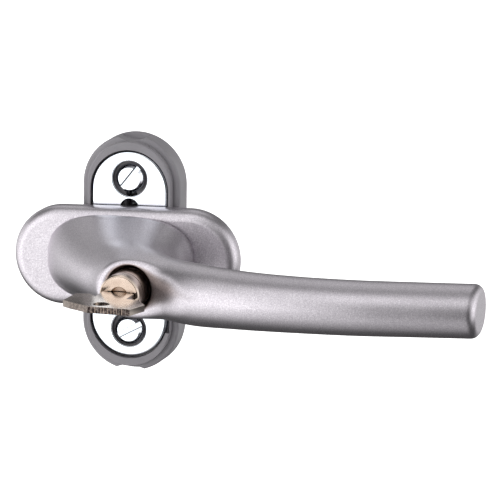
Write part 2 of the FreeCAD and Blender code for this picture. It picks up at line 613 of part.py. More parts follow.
def make_plug():
    """Plug with its face, keyway, five wafers in slots, and the cam behind it."""
    back, face, lock_x = dim("plug_back"), dim("face_depth"), dim("lock_offset")
    plug = lock_axis_cylinder(dim("plug_radius"), back, face - 1.5)
    plug = plug.fuse(lock_axis_cylinder(dim("plug_head_radius"), face - 1.5, face))
    plug = plug.removeSplitter()
    keyway = dim("blade_thick") + 0.3
    plug = plug.cut(lock_axis_box(dim("blade_width") + 0.3, keyway, back + 0.8, face + 1))
    plug = plug.cut(lock_axis_cylinder(dim("dimple_radius"), face - dim("dimple_depth"), face + 1))
    nick = Part.makeCylinder(0.6, 2, Vector(lock_x + 4.0, -(face - 0.6), 0.5), Vector(0, -1, 0))
    plug = plug.cut(nick)
    wafers = []
    for index in range(5):
        near = back + 4.0 + index * 3.0
        slot = lock_axis_box(7.7, 3.8, near, near + dim("wafer_thick") + 0.1)
        plug = plug.cut(slot)
        wafer = lock_axis_box(7.4, 3.6, near + 0.05, near + 0.05 + dim("wafer_thick"))
        wafers.append(wafer.cut(lock_axis_box(6.4, 2.2, near - 1, near + 2)))
    add_shape("lock_plug", plug)
    add_shape("lock_wafers", Part.makeCompound(wafers))
    cam = lock_axis_cylinder(4.1, back - 2.3, back)
    cam = cam.cut(Part.makeBox(9, 4, 3, Vector(dim("lock_offset") - 4.5, -(back - 0.9), 1.9)))
    add_shape("lock_cam", cam)


def make_bolt():
    """Carrier plate behind the cylinder, the bolt pressed in it, and the return spring."""
    back = dim("cylinder_back")
    carrier = Part.makeBox(12.0, 2.5, 6.0, Vector(4.3, -back, -3.0))
    carrier = carrier.makeFillet(1.5, [edge for edge in carrier.Edges
                                       if edge.BoundBox.YLength > 2])
    hole = Part.makeCylinder(dim("bolt_radius"), 10,
                             Vector(dim("bolt_offset"), -back - 1, 0), Vector(0, 1, 0))
    add_shape("bolt_carrier", carrier.cut(hole))
    bolt = Part.makeCylinder(dim("bolt_radius"), back - dim("bolt_tip"),
                             Vector(dim("bolt_offset"), -dim("bolt_tip"), 0), Vector(0, -1, 0))
    tip = [edge for edge in bolt.Edges if edge.BoundBox.YMin > -dim("bolt_tip") - 0.01]
    add_shape("lock_bolt", bolt.makeChamfer(0.3, tip))
    coil = spring(1.55, 0.22, 8.7, 5)
    coil.Placement = Placement(Vector(dim("bolt_offset"), -(back - 2.5 - 0.3), 0),
                               Rotation(Vector(1, 0, 0), -90))
    add_shape("lock_return_spring", coil)


def make_key():
    """Flat key: a wide bow with cut corners, a short stem and a blade with side cuts."""
    lock, half = dim("lock_offset"), dim("bow_width") / 2
    thick = dim("blade_thick")
    back, front, stem = dim("bow_back"), dim("bow_front"), dim("stem_width") / 2
    face = dim("face_depth") + 0.2
    outline = [(-stem, face), (-stem, back), (-stem - 2.0, back - 2.6), (-half + 0.5, back - 1.8),
               (-half, back + 7.0), (-half + 2.4, back + 8.8), (-2.5, front), (half - 2.0, front),
               (half, front - 6.5), (half - 3.4, back + 0.6), (stem, back + 0.6), (stem, face)]
    blade, tip = dim("blade_width") / 2, dim("blade_tip")
    outline += [(blade, face), (blade, tip + 2.0), (blade - 2.0, tip), (-blade + 2.0, tip),
                (-blade, tip + 2.0), (-blade, face)]
    corners = [Vector(lock + x, -depth, -thick / 2) for x, depth in outline]
    flat = Part.Face(Part.makePolygon(corners + corners[:1]))
    key = flat.extrude(Vector(0, 0, thick))
    for index, bite in enumerate((0.7, 1.1, 0.5, 0.9, 0.6)):
        depth = tip + 4.0 + index * 3.0
        notch = Part.makeBox(2, 1.6, 4, Vector(lock + blade - bite, -depth - 0.8, -2))
        key = key.cut(notch)
    hole = Part.makeCylinder(2.15, 6, Vector(lock, -(front - 3.7), -3), Vector(0, 0, 1))
    return add_shape("key", key.cut(hole))


# ---------------------------------------------------------------- build and export
make_base_plate()
make_lock_ring()
make_steel_plate()
make_screws()
make_bush()
make_detent()
make_detent_wheel()
make_spindle()
make_rings()
make_lever()
make_lever_screws()
make_cover()
make_cylinder()
make_plug()
make_bolt()
make_key()
doc.recompute()

for item in doc.Objects:
    if "Invalid" in item.State or "Error" in item.State:
        raise RuntimeError("%s failed: %s" % (item.Label, item.State))
for piece in PARTS:
    if piece.Shape.isNull() or not piece.Shape.isValid():
        raise RuntimeError(piece.Label + " has no valid shape")
    piece.Shape.exportStep("parts/%s.step" % piece.Label)
    print("%-20s %8.1f mm3  %d solid(s)" % (piece.Label, piece.Shape.Volume, len(piece.Shape.Solids)))
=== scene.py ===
"""Looks for the lockable tilt-turn handle: materials, finer meshes, studio light and camera.

Shapes are worked out in millimetres in the CAD frame: +X the way the lever points, -Y out of
the front, +Z up. "Depth" is measured forward from the mounting face. Blender gets metres.
"""
import json
import math

import bmesh
import bpy
import numpy as np
from mathutils import Matrix, Vector


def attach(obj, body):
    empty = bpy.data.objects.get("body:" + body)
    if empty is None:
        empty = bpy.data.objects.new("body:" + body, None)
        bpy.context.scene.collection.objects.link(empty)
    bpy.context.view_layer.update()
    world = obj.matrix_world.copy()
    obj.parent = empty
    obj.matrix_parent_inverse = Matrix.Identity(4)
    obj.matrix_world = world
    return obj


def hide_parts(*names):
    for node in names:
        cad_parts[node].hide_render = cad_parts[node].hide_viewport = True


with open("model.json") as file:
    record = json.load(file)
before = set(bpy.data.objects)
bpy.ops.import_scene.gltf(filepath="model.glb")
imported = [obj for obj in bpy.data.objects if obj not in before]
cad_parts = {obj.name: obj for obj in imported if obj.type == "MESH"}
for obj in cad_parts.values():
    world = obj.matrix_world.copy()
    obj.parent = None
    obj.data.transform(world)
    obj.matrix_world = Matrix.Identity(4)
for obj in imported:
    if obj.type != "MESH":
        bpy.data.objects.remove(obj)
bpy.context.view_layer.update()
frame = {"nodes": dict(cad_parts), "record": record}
MM = 0.001
WHITE = (1, 1, 1, 1)
FINE_RELIEF = 0.03 * MM  # height of the grain in paint, plastic and metal
# The screws' shanks lie behind this depth, and the mask for them fades out in front of it.
SHANK_DEPTH, MASK_FADE = 5.3, 0.3
# How narrow a gap must be to get painted shade, dark on zinc and brown on nickel.
ZINC_CREVICE, NICKEL_SHADE_REACH = 0.7 * MM, 1.6 * MM
CREVICE_RAYS = 8
# The key's plating wears between these values of facing_back, where -1 is straight out.
WEAR_START, WEAR_FULL = -0.52, -0.97


# ------------------------------------------------------------------ node helpers
def linear(r, g, b):
    """A display colour from 0 to 255 as scene-linear RGBA."""
    channels = []
    for value in (r, g, b):
        v = value / 255
        channels.append(v / 12.92 if v <= 0.04045 else ((v + 0.055) / 1.055) ** 2.4)
    return (*channels, 1.0)


def new_material(name, metallic=0.0, roughness=0.5):
    """A material with one Principled shader, and its node tree."""
    material = bpy.data.materials.new(name)
    material.use_nodes = True
    tree = material.node_tree
    shader = tree.nodes["Principled BSDF"]
    shader.inputs["Metallic"].default_value = metallic
    shader.inputs["Roughness"].default_value = roughness
    return material, tree, shader


def coordinates(tree, stretch=(1, 1, 1)):
    """Object coordinates, optionally stretched."""
    source = tree.nodes.new("ShaderNodeTexCoord")
    mapping = tree.nodes.new("ShaderNodeMapping")
    mapping.inputs["Scale"].default_value = stretch
    tree.links.new(source.outputs["Object"], mapping.inputs["Vector"])
    return mapping.outputs["Vector"]


def noise(tree, vector, scale, detail=2.0, roughness=0.5):
    """Soft noise; the scale is in waves per metre."""
    node = tree.nodes.new("ShaderNodeTexNoise")
    node.inputs["Scale"].default_value = scale
    node.inputs["Detail"].default_value = detail
    node.inputs["Roughness"].default_value = roughness
    tree.links.new(vector, node.inputs["Vector"])
    return node.outputs["Fac"]


def ramp(tree, value, stops):
    """A colour ramp through (position, colour) stops."""
    node = tree.nodes.new("ShaderNodeValToRGB")
    elements = node.color_ramp.elements
    while len(elements) < len(stops):
        elements.new(0.5)
    for element, (position, color) in zip(elements, stops):
        element.position = position
        element.color = color
    tree.links.new(value, node.inputs["Fac"])
    return node.outputs["Color"]


def spread(tree, value, low, high, start=0.3, end=0.7):
    """Maps a texture's middle range to low..high."""
    node = tree.nodes.new("ShaderNodeMapRange")
    node.inputs["From Min"].default_value = start
    node.inputs["From Max"].default_value = end
    node.inputs["To Min"].default_value = low
    node.inputs["To Max"].default_value = high
    tree.links.new(value, node.inputs["Value"])
    return node.outputs["Result"]


def math_node(tree, operation, first, second):
    """One step of arithmetic on numbers or on other nodes' outputs."""
    node = tree.nodes.new("ShaderNodeMath")
    node.operation = operation
    for socket, value in zip(node.inputs, (first, second)):
        if isinstance(value, (int, float)):
            socket.default_value = value
        else:
            tree.links.new(value, socket)
    return node.outputs[0]


def bump(tree, shader, height, strength, distance=FINE_RELIEF):
    """Fine relief from a height texture."""
    node = tree.nodes.new("ShaderNodeBump")
    node.inputs["Strength"].default_value = strength
    node.inputs["Distance"].default_value = distance
    tree.links.new(height, node.inputs["Height"])
    tree.links.new(node.outputs["Normal"], shader.inputs["Normal"])


def multiplied(tree, first, second):
    """Two colours multiplied."""
    mix = tree.nodes.new("ShaderNodeMix")
    mix.data_type = "RGBA"
    mix.blend_type = "MULTIPLY"
    mix.inputs["Factor"].default_value = 1.0
    tree.links.new(first, mix.inputs["A"])
    tree.links.new(second, mix.inputs["B"])
    return mix.outputs["Result"]


def behind(tree, place, depth):
    """1 for points nearer the sash than the depth in mm, 0 for those in front of it."""
    split = tree.nodes.new("ShaderNodeSeparateXYZ")
    tree.links.new(place, split.inputs["Vector"])
    mask = tree.nodes.new("ShaderNodeMapRange")
    mask.inputs["From Min"].default_value = -(depth + MASK_FADE) * MM
    mask.inputs["From Max"].default_value = -depth * MM
    tree.links.new(split.outputs["Y"], mask.inputs["Value"])
    return mask.outputs["Result"]


def facing_back(tree):
    """How far a face looks back to the sash: 1 straight back, -1 straight out of the front."""
    source = tree.nodes.new("ShaderNodeTexCoord")
    split = tree.nodes.new("ShaderNodeSeparateXYZ")
    tree.links.new(source.outputs["Normal"], split.inputs["Vector"])
    return split.outputs["Y"]


def side_shade(tree, color, dark, spared):
    """Paints shade onto walls that stand square to the plate, such as slot sides, but not where
    spared.
    """
    upright = math_node(tree, "ABSOLUTE", facing_back(tree), 0.0)
    upright = math_node(tree, "MAXIMUM", upright, spared)
    tint = ramp(tree, upright, [(0.25, dark), (0.45, WHITE)])
    return multiplied(tree, color, tint)


def crevice_shade(tree, color, reach, dark, deep=0.35, clear=0.85):
    """Paints shade into a colour inside slots and gaps narrower than the reach."""
    open_space = tree.nodes.new("ShaderNodeAmbientOcclusion")
    open_space.samples = CREVICE_RAYS
    open_space.inputs["Distance"].default_value = reach
    tint = ramp(tree, open_space.outputs["AO"], [(deep, dark), (clear, WHITE)])
    return multiplied(tree, color, tint)


# ------------------------------------------------------------------ materials
def silver_paint():
    """Satin metallic paint: fine flake grain over a slow drift in gloss."""
    material, tree, shader = new_material("silver_paint", metallic=1.0)
    place = coordinates(tree)
    flakes = noise(tree, place, 3500, 3.0, 0.7)
    drift = noise(tree, place, 60, 2.0)
    color = ramp(tree, flakes, [(0.3, linear(178, 173, 180)), (0.5, linear(200, 195, 201)),
                                (0.7, linear(230, 226, 231))])
    tree.links.new(color, shader.inputs["Base Color"])
    tree.links.new(spread(tree, drift, 0.36, 0.42), shader.inputs["Roughness"])
    bump(tree, shader, flakes, 0.2)
    return material


def base_plastic():
    """Mid-grey moulded plastic with a fine spark-eroded texture."""
    material, tree, shader = new_material("base_plastic", roughness=0.42)
    place = coordinates(tree)
    grain = noise(tree, place, 3200, 3.0)
    cloud = noise(tree, place, 90, 3.0)
    color = ramp(tree, cloud, [(0.3, linear(143, 140, 145)), (0.7, linear(153, 150, 155))])
    tree.links.new(color, shader.inputs["Base Color"])
    tree.links.new(spread(tree, grain, 0.38, 0.48), shader.inputs["Roughness"])
    bump(tree, shader, grain, 0.15)
    return material


def bright_zinc():
    """Bright blue-passivated zinc: mirror gloss, faint rolling streaks, painted shade on slot
    walls and in narrow gaps.
    """
    material, tree, shader = new_material("bright_zinc", metallic=1.0)
    streaks = noise(tree, coordinates(tree, (900, 900, 60)), 1.0, 3.0)
    place = coordinates(tree)
    cloud = noise(tree, place, 160, 2.0)
    shank = behind(tree, place, SHANK_DEPTH)
    color = ramp(tree, cloud, [(0.3, linear(232, 238, 246)), (0.7, linear(246, 249, 252))])
    # painted shade: dark lines where slot floors meet their walls, and in narrow gaps
    color = crevice_shade(tree, color, ZINC_CREVICE, linear(34, 44, 56), 0.52, 0.9)
    # painted shade: walls square to the plate, such as slot sides, are darkened, and the shanks
    # behind SHANK_DEPTH are spared
    color = side_shade(tree, color, linear(70, 84, 98), shank)
    tree.links.new(color, shader.inputs["Base Color"])
    tree.links.new(spread(tree, streaks, 0.07, 0.13), shader.inputs["Roughness"])
    bump(tree, shader, streaks, 0.04, 0.02 * MM)
    return material


def metal(name, dark, light, rough, grain_scale=1500, grain=0.05, painted_shade_tint=None):
    """Machined or cast metal in two tones with a fine grain, and optionally painted shade in its
    crevices.
    """
    material, tree, shader = new_material(name, metallic=1.0)
    place = coordinates(tree)
    cloud = noise(tree, place, 220, 3.0)
    fine = noise(tree, place, grain_scale, 3.0)
    color = ramp(tree, cloud, [(0.3, linear(*dark)), (0.7, linear(*light))])
    # painted shade: the colour turns towards the given tint in hollows narrower than the reach
    if painted_shade_tint:
        color = crevice_shade(tree, color, NICKEL_SHADE_REACH, linear(*painted_shade_tint))
    tree.links.new(color, shader.inputs["Base Color"])
    tree.links.new(spread(tree, fine, *rough), shader.inputs["Roughness"])
    bump(tree, shader, fine, grain)
    return material


def plastic(name, dark, light, rough):
    """Smooth plastic in two close tones."""
    material, tree, shader = new_material(name)
    place = coordinates(tree)
    cloud = noise(tree, place, 150, 3.0)
    fine = noise(tree, place, 2500, 2.0)
    color = ramp(tree, cloud, [(0.3, linear(*dark)), (0.7, linear(*light))])
    tree.links.new(color, shader.inputs["Base Color"])
    tree.links.new(spread(tree, fine, *rough), shader.inputs["Roughness"])
    bump(tree, shader, fine, 0.08)
    return material


def key_nickel():
    """Bright nickel plate, worn dark and pitted on edges that face out of the front."""
    material, tree, shader = new_material("key_nickel", metallic=1.0)
    place = coordinates(tree)
    cloud = noise(tree, place, 260, 3.0)
    plated = ramp(tree, cloud, [(0.3, linear(196, 184, 174)), (0.7, linear(218, 208, 199))])
    pits = noise(tree, place, 1500, 4.0, 0.7)
    worn = ramp(tree, pits, [(0.36, linear(30, 25, 24)), (0.5, linear(66, 57, 55)),
                             (0.66, linear(140, 128, 122))])
    edge = tree.nodes.new("ShaderNodeMapRange")
    edge.inputs["From Min"].default_value = WEAR_START
    edge.inputs["From Max"].default_value = WEAR_FULL
    tree.links.new(facing_back(tree), edge.inputs["Value"])
    mix = tree.nodes.new("ShaderNodeMix")
    mix.data_type = "RGBA"
    tree.links.new(edge.outputs["Result"], mix.inputs["Factor"])
    tree.links.new(plated, mix.inputs["A"])
    tree.links.new(worn, mix.inputs["B"])
    tree.links.new(mix.outputs["Result"], shader.inputs["Base Color"])
    rough = tree.nodes.new("ShaderNodeMapRange")
    rough.inputs["To Min"].default_value = 0.17
    rough.inputs["To Max"].default_value = 0.42
    tree.links.new(edge.outputs["Result"], rough.inputs["Value"])
    tree.links.new(rough.outputs["Result"], shader.inputs["Roughness"])
    bump(tree, shader, cloud, 0.03)
    return material


MATERIALS = {
    "silver_paint": silver_paint(),
    "base_plastic": base_plastic(),
    "bright_zinc": bright_zinc(),
    "bush_plastic": plastic("bush_plastic", (30, 30, 32), (42, 42, 45), (0.35, 0.5)),
    "steel": metal("steel", (150, 152, 156), (190, 192, 196), (0.22, 0.34)),
    "zinc_casting": metal("zinc_casting", (140, 141, 145), (172, 173, 178), (0.42, 0.6)),
    # brown painted shade in the lock's hollows, such as the face's dimple and the keyway
    "lock_nickel": metal("lock_nickel", (205, 189, 176), (222, 207, 195), (0.15, 0.2), 700, 0.02,
                         painted_shade_tint=(120, 95, 70)),
    "wafer_brass": metal("wafer_brass", (196, 160, 92), (222, 190, 120), (0.25, 0.38)),
    "key_nickel": key_nickel(),
}


def dress(piece, slot):
    """Gives a piece the one material of its slot."""
    piece.data.materials.clear()
    piece.data.materials.append(MATERIALS[slot])


for entry in frame["record"]["subparts"]:
    dress(frame["nodes"][entry["node"]], entry["material_slot"])


# ------------------------------------------------------------------ lever dimensions
# Hub cross-sections: depth, left end, right end, half height, and how square the oval is.
HUB_SECTIONS = [(14.2, -20.6, 20.8, 12.2, 2.7), (16.0, -20.9, 21.1, 12.4, 2.7),
                (19.0, -20.0, 20.8, 11.7, 2.6), (25.5, -16.2, 20.6, 10.3, 2.4),
                (33.0, -10.4, 21.8, 9.2, 2.2), (41.0, -3.4, 23.0, 8.4, 2.1),
                (47.5, 2.6, 22.3, 8.0, 2.0), (51.2, 5.0, 21.4, 7.9, 2.0),
                (52.4, 5.5, 21.1, 7.8, 2.0)]
# Arm centre line: distance along X, depth, half height, half depth, and rise of its middle.
ARM_SECTIONS = [(6.0, 35.0, 6.6, 6.6, 0.0), (20.0, 43.8, 8.0, 7.4, -0.1),
                (31.0, 49.5, 8.25, 8.2, -0.2), (44.0, 52.4, 7.75, 8.0, -0.2),
                (60.0, 53.3, 7.4, 7.9, -0.1), (76.0, 52.5, 7.25, 7.9, 0.05),
                (92.0, 50.3, 7.15, 7.9, 0.3), (108.4, 47.4, 7.1, 7.9, 0.45)]
FOOT_DEPTH, FOOT_EDGE = 14.2, 0.6
LOCK_X, BOSS_FACE, BOSS_EDGE, BOSS_DOME = 13.45, 52.4, 2.6, 0.006
SCOOP_DEPTH, SCOOP_SLOPE, SCOOP_EDGE = 50.6, 0.9, 3.0
ARM_START_EDGE = 4.0
ARM_END, ARM_EDGE, ARM_DOME = 108.4, 2.1, 0.002
CROTCH_FILLET = 6.0
MOUTH_RADIUS, MOUTH_DEPTH, MOUTH_EDGE = 6.35, 5.0, 0.45
NECK_RADIUS, NECK_END = 9.0, 4.95
# The hidden shoulder is slimmer than the CAD's and the bore wider and deeper, each by
# 0.5 mm at most, so that the mesh's rounded inner corners clear the pieces beside them.
SHOULDER_RADIUS, SHOULDER_DEPTH = 10.25, 8.95
BORE_RADIUS, BORE_BACK = 5.72, 25.3
SOCKET_HALF, SOCKET_FRONT = 3.55, 22.2
GROOVE_DEPTH, GROOVE_HALF, GROOVE_RADIUS = 5.45, 0.33, 8.38
BOLT_X, BOLT_HOLE, BOLT_FRONT = 7.0, 1.08, 24.0
GRUB_DEPTH, GRUB_HOLE, GRUB_NEAR, GRUB_FAR = 11.4, 2.0, 3.0, 15.0
STOP_DEPTH, STOP_HOLE, STOP_NEAR = 40.0, 1.5, 4.0
# Room for the bolt carrier: its middle in x and depth, and half its size in x, z and depth.
ROOM_X, ROOM_DEPTH = 10.3, 27.75
ROOM_HALF_X, ROOM_HALF_Z, ROOM_HALF_DEPTH = 6.3, 3.3, 4.55
NECK_OVERLAP = 2.0
# Grid lines for meshing, as (start, step): finer around the lock, the foot and the edges.
GRID_X = ((-23.2, 0.6), (5.5, 0.3), (21.5, 0.55), (ARM_END - 2.5, 0.35), (ARM_END + 0.8, 1))
GRID_DEPTH = ((4.4, 0.3), (6.4, 0.6), (13.6, 0.3), (15.2, 0.55), (48.4, 0.3), (54.0, 0.5),
              (62.6, 1))
GRID_Z = ((-14, 0.55), (-7.2, 0.33), (7.2, 0.55), (14, 1))
RELAX_PASSES, RELAX_WEIGHT, SETTLE_ROUNDS = 2, 0.4, 2
NEAREST_ROUNDS = 4


# ------------------------------------------------------------------ lever shape
def smooth_curve(at, knots, values):
    """A smooth curve through (knot, value) pairs, straight beyond its ends."""
    knots, values = np.asarray(knots, float), np.asarray(values, float)
    slopes = np.gradient(values, knots)
    index = np.clip(np.searchsorted(knots, at) - 1, 0, len(knots) - 2)
    step = knots[index + 1] - knots[index]
    t = np.clip((at - knots[index]) / step, 0, 1)
    v0, v1 = values[index], values[index + 1]
    m0, m1 = slopes[index] * step, slopes[index + 1] * step
    inside = (v0 * (2 * t ** 3 - 3 * t ** 2 + 1) + m0 * (t ** 3 - 2 * t ** 2 + t)
              + v1 * (3 * t ** 2 - 2 * t ** 3) + m1 * (t ** 3 - t ** 2))
    before = np.minimum(at - knots[0], 0) * slopes[0]
    after = np.maximum(at - knots[-1], 0) * slopes[-1]
    return inside + before + after


def oval_distance(across, up, half_across, half_up, power=2.0):
    """Roughly the distance to an oval, squarer where the power is above 2."""
    size = np.hypot(across, up) + 1e-6
    level = (np.abs(across / half_across) ** power + np.abs(up / half_up) ** power) ** (1 / power)
    return size - size / np.maximum(level, 1e-6)


def blend(a, b, width):
    """Union of two distances with a fillet."""
    overlap = np.maximum(width - np.abs(a - b), 0) / width
    return np.minimum(a, b) - overlap ** 2 * width / 4


def meet(a, b, radius):
    """Where both are inside, with the shared edge rounded."""
    outside = np.hypot(np.maximum(a + radius, 0), np.maximum(b + radius, 0))
    return np.minimum(np.maximum(a, b) + radius, 0) + outside - radius


def tube(x, z, centre, radius):
    """Distance to a round bar along the depth, centred at x = centre and z = 0."""
    return np.hypot(x - centre, z) - radius


def hub_distance(x, depth, z):
    """The flared hub: an oval foot that leans into the domed lock boss."""
    knots, left, right, half_up, power = (np.array(column) for column in zip(*HUB_SECTIONS))
    low, high = smooth_curve(depth, knots, left), smooth_curve(depth, knots, right)
    side = oval_distance(x - (low + high) / 2, z, (high - low) / 2,
                         smooth_curve(depth, knots, half_up), smooth_curve(depth, knots, power))
    dome = depth - BOSS_FACE + BOSS_DOME * ((x - LOCK_X) ** 2 + z ** 2)
    return meet(meet(side, FOOT_DEPTH - depth, FOOT_EDGE), dome, BOSS_EDGE)


def arm_distance(x, depth, z):
    """The grip: an oval section along a centre line that bows forward and back again."""
    stations, centre, half_up, half_depth, lift = (np.array(c) for c in zip(*ARM_SECTIONS))
    nearest = x + 0 * depth
    for _ in range(NEAREST_ROUNDS):
        line = smooth_curve(nearest, stations, centre)
        slope = (smooth_curve(nearest + 0.5, stations, centre)
                 - smooth_curve(nearest - 0.5, stations, centre))
        nearest = nearest + ((x - nearest) + (depth - line) * slope) / (1 + slope ** 2)
    line = smooth_curve(nearest, stations, centre)
    forward = (depth - line) * np.sqrt(1 + slope ** 2)
    side = oval_distance(forward, z - smooth_curve(nearest, stations, lift),
                         smooth_curve(nearest, stations, half_depth),
                         smooth_curve(nearest, stations, half_up))
    start = stations[0] - nearest
    end = x - ARM_END + ARM_DOME * (forward ** 2 + z ** 2)
    return meet(meet(side, start, ARM_START_EDGE), end, ARM_EDGE)


def lever_distance(x, depth, z):
    """The whole casting: hub, grip and neck, less its bores."""
    solid = blend(hub_distance(x, depth, z), arm_distance(x, depth, z), CROTCH_FILLET)
    neck = np.maximum(tube(x, z, 0, NECK_RADIUS), NECK_END - depth)
    shoulder = np.maximum(tube(x, z, 0, SHOULDER_RADIUS), SHOULDER_DEPTH - depth)
    inner = depth - FOOT_DEPTH - NECK_OVERLAP
    solid = np.minimum(solid, np.maximum(np.minimum(neck, shoulder), inner))
    scoop = SCOOP_DEPTH + tube(x, z, LOCK_X, MOUTH_RADIUS) * SCOOP_SLOPE - depth
    solid = meet(solid, -scoop / math.hypot(1, SCOOP_SLOPE), SCOOP_EDGE)
    mouth = np.maximum(tube(x, z, LOCK_X, MOUTH_RADIUS), BOSS_FACE - MOUTH_DEPTH - depth)
    solid = meet(solid, -mouth, MOUTH_EDGE)
    bore = np.maximum(tube(x, z, LOCK_X, BORE_RADIUS), BORE_BACK - depth)
    side = np.maximum(np.abs(x), np.abs(z)) - SOCKET_HALF
    socket = np.maximum(side, depth - SOCKET_FRONT)
    groove = np.maximum(np.abs(depth - GROOVE_DEPTH) - GROOVE_HALF,
                        GROOVE_RADIUS - np.hypot(x, z))
    room = np.maximum(np.abs(x - ROOM_X) - ROOM_HALF_X, np.abs(z) - ROOM_HALF_Z)
    room = np.maximum(room, np.abs(depth - ROOM_DEPTH) - ROOM_HALF_DEPTH)
    channel = np.maximum(tube(x, z, BOLT_X, BOLT_HOLE), depth - BOLT_FRONT)
    grub = np.maximum(np.hypot(depth - GRUB_DEPTH, z) - GRUB_HOLE, x + GRUB_NEAR)
    grub = np.maximum(grub, -GRUB_FAR - x)
    stop = np.maximum(np.hypot(x - LOCK_X, depth - STOP_DEPTH) - STOP_HOLE, z + STOP_NEAR)
    for hollow in (bore, socket, groove, room, channel, grub, stop):
        solid = np.maximum(solid, -hollow)
    return solid


def spaced(*stretches):
    """Grid lines from (start, step) stretches and a last end."""
    lines = []
    for (start, step), following in zip(stretches, stretches[1:]):
        end = following[0]
        count = max(1, round((end - start) / step))
        lines.extend(start + (end - start) * i / count for i in range(count))
    return np.array(lines + [stretches[-1][0]])


def neighbours(axis):
    """Slices of a grid that pair each point with the next one along an axis."""
    near, far = [slice(None)] * 3, [slice(None)] * 3
    near[axis], far[axis] = slice(None, -1), slice(1, None)
    return tuple(near), tuple(far)


def surface_net(distance, xs, ys, zs):
    """Quads over the zero surface of a distance function, one vertex in each crossed cell."""
    axes = (xs, ys, zs)
    field = distance(xs[:, None, None], ys[None, :, None], zs[None, None, :])
    inside = field < 0
    shape = tuple(len(axis) - 1 for axis in axes)
    total, hits = np.zeros(shape + (3,)), np.zeros(shape)
    for axis in range(3):
        near, far = neighbours(axis)
        crossed = inside[near] != inside[far]
        cells = np.argwhere(crossed)
        a, b = field[near][crossed], field[far][crossed]
        t = a / (a - b)
        point = np.stack([axes[k][cells[:, k]] for k in range(3)], axis=1)
        along = axes[axis]
        point[:, axis] += t * (along[cells[:, axis] + 1] - along[cells[:, axis]])
        others = [k for k in range(3) if k != axis]
        for shift_a in (0, 1):
            for shift_b in (0, 1):
                cell = cells.copy()
                cell[:, others[0]] -= shift_a
                cell[:, others[1]] -= shift_b
                valid = np.all((cell >= 0) & (cell < shape), axis=1)
                key = tuple(cell[valid].T)
                np.add.at(total, key, point[valid])
                np.add.at(hits, key, 1)
    used = hits > 0
    number = -np.ones(shape, int)
    number[used] = np.arange(used.sum())
    vertices = total[used] / hits[used][:, None]
    faces = []
    for axis in range(3):
        near, far = neighbours(axis)
        cells = np.argwhere(inside[near] != inside[far])
        filled = inside[near][tuple(cells.T)]
        u, v = [(1, 2), (2, 0), (0, 1)][axis]
        corners = []
        for shift_u, shift_v in ((1, 1), (0, 1), (0, 0), (1, 0)):
            cell = cells.copy()
            cell[:, u] -= shift_u
            cell[:, v] -= shift_v
            corners.append(number[tuple(cell.T)])
        quad = np.stack(corners, axis=1)
        quad[~filled] = quad[~filled][:, ::-1]
        faces.append(quad)
    return vertices, np.concatenate(faces)


def settle(distance, points, rounds, step=0.02, longest=0.3, least_slope=0.05):
    """Moves points onto the zero surface along its slope, by the longest move at most."""
    for _ in range(rounds):
        value = distance(*points.T)
        slope = np.empty_like(points)
        for axis in range(3):
            offset = np.zeros(3)
            offset[axis] = step
            slope[:, axis] = (distance(*(points + offset).T) - distance(*(points - offset).T))
        slope /= 2 * step
        steepness = np.maximum((slope ** 2).sum(axis=1), least_slope)
        move = (value / steepness)[:, None] * slope
        length = np.linalg.norm(move, axis=1, keepdims=True)
        points = points - move * np.minimum(1, longest / np.maximum(length, 1e-9))
    return points


def relax(vertices, faces, weight):
    """Pulls each vertex towards the middle of its neighbours."""
    total, count = np.zeros_like(vertices), np.zeros(len(vertices))
    for corner in range(4):
        here, there = faces[:, corner], faces[:, (corner + 1) % 4]
        np.add.at(total, here, vertices[there])
        np.add.at(total, there, vertices[here])
        np.add.at(count, here, 1)
        np.add.at(count, there, 1)
    return vertices * (1 - weight) + total / count[:, None] * weight


def mesh_piece(name, vertices, faces):
    """A mesh object from millimetre vertices in (x, depth, z)."""
    mesh = bpy.data.meshes.new(name)
    points = np.asarray(vertices, float) * (MM, -MM, MM)
    mesh.from_pydata(points.tolist(), [], [list(map(int, face)) for face in faces])
    mesh.validate()
    mesh.shade_smooth()
    piece = bpy.data.objects.new(name, mesh)
    bpy.context.scene.collection.objects.link(piece)
    return piece


def build_lever():
    """The casting's mesh: a net over the grid, evened out on the surface twice."""
    vertices, faces = surface_net(lever_distance, spaced(*GRID_X), spaced(*GRID_DEPTH),
                                  spaced(*GRID_Z))
    for _ in range(RELAX_PASSES):
        vertices = settle(lever_distance, relax(vertices, faces, RELAX_WEIGHT), SETTLE_ROUNDS)
    return mesh_piece("lever_casting", vertices, faces[:, ::-1])


# ------------------------------------------------------------------ assembly
def install(piece, body, slot, *nodes):
    """Rides a piece on its body, in the place of the CAD nodes it stands for."""
    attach(piece, body)
    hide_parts(*nodes)
    dress(piece, slot)


# Depths of the key's shoulder at the plug, the bow's back and front, and the blade's tip.
KEY_FACE, KEY_BACK, KEY_FRONT, KEY_TIP = 58.7, 65.0, 77.0, 37.0
# Half widths of its stem, bow and blade, and its thickness.
KEY_STEM, KEY_BOW, KEY_BLADE, KEY_THICK = 4.4, 10.9, 3.0, 1.8
KEY_BITES, BITE_PITCH, BITE_HALF, BITE_FLAT = (0.7, 1.1, 0.5, 0.9, 0.6), 3.0, 1.0, 0.6
FIRST_BITE, BLADE_POINT = 4.0, 2.0
KEY_HOLE_RADIUS, KEY_HOLE_DEPTH, KEY_EDGE = 2.15, 73.3, 0.1
REED_START, REED_END, REED_LIP = -1.6, KEY_BOW - 3.0, 0.08
REED_WIDTHS, REED_DEPTHS, REED_GAPS = (0.22, 0.4), (0.06, 0.16), (0.2, 0.7)
RING_STEPS = 48
MERGE_GAP = 0.002
EDGE_ANGLE, EDGE_SEGMENTS = 35, 2
EDGE_WIDTHS = {"mounting_screws": 0.12, "lock_plug": 0.14, "cylinder_front_ring": 0.1,
               "cylinder_housing": 0.1}


